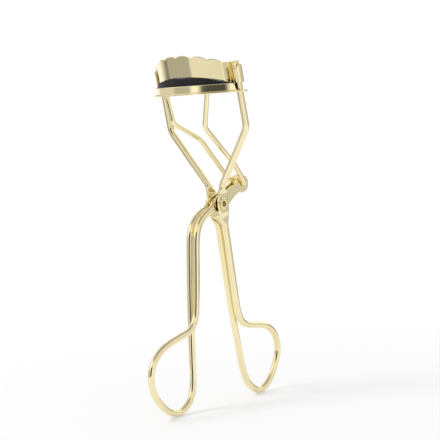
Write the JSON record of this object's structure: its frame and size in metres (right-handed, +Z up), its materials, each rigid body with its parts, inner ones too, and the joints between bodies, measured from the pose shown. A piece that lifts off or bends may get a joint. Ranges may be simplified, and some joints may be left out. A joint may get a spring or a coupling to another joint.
{
  "type": "eyelash curler",
  "caption": "Scissor-handled eyelash curler bent from wire, with a fixed curved jaw plate and a lower jaw with a rubber pad that slides up to it.",
  "frame": {"origin": "middle of the outline, on the ground that the two finger loops stand on", "axes": "+Z up from the finger loops to the jaws, +X across the jaws and along the pivot rivets, -Y towards the convex side of the jaws and the moving handle"},
  "size_m": [0.0386, 0.0632, 0.1121],
  "materials": {
    "gold_plate": "polished",
    "black_rubber": "matte"
  },
  "bodies": {
    "frame": {"fixed_handle_frame": "gold_plate", "upper_jaw_plate": "gold_plate", "pivot_rivet_left": "gold_plate", "pivot_rivet_right": "gold_plate"},
    "handle": {"moving_handle": "gold_plate"},
    "yoke": {"push_yoke": "gold_plate"},
    "lower_jaw": {"lower_jaw_channel": "gold_plate", "eyelash_pad": "black_rubber"}
  },
  "joints": [
    {"name": "handle_pivot", "type": "hinge", "parent": "frame", "child": "handle", "pos_m": [0, 0.00557, 0.0645], "axis": [-1, 0, 0], "range_deg": [0, 30]},
    {"name": "yoke_pivot", "type": "hinge", "parent": "handle", "child": "yoke", "pos_m": [0, 0.01697, 0.0699], "axis": [-1, 0, 0], "range_deg": [-31, 0]},
    {"name": "jaw_slide", "type": "slide", "parent": "frame", "child": "lower_jaw", "axis": [0, 0.158, -0.9874], "range_m": [0, 0.0068]}
  ],
  "couplings": [
    {"joint": "yoke_pivot", "follows": "handle_pivot", "ratio": -1.025},
    {"joint": "jaw_slide", "follows": "handle_pivot", "m_per_rad": 0.01289}
  ]
}
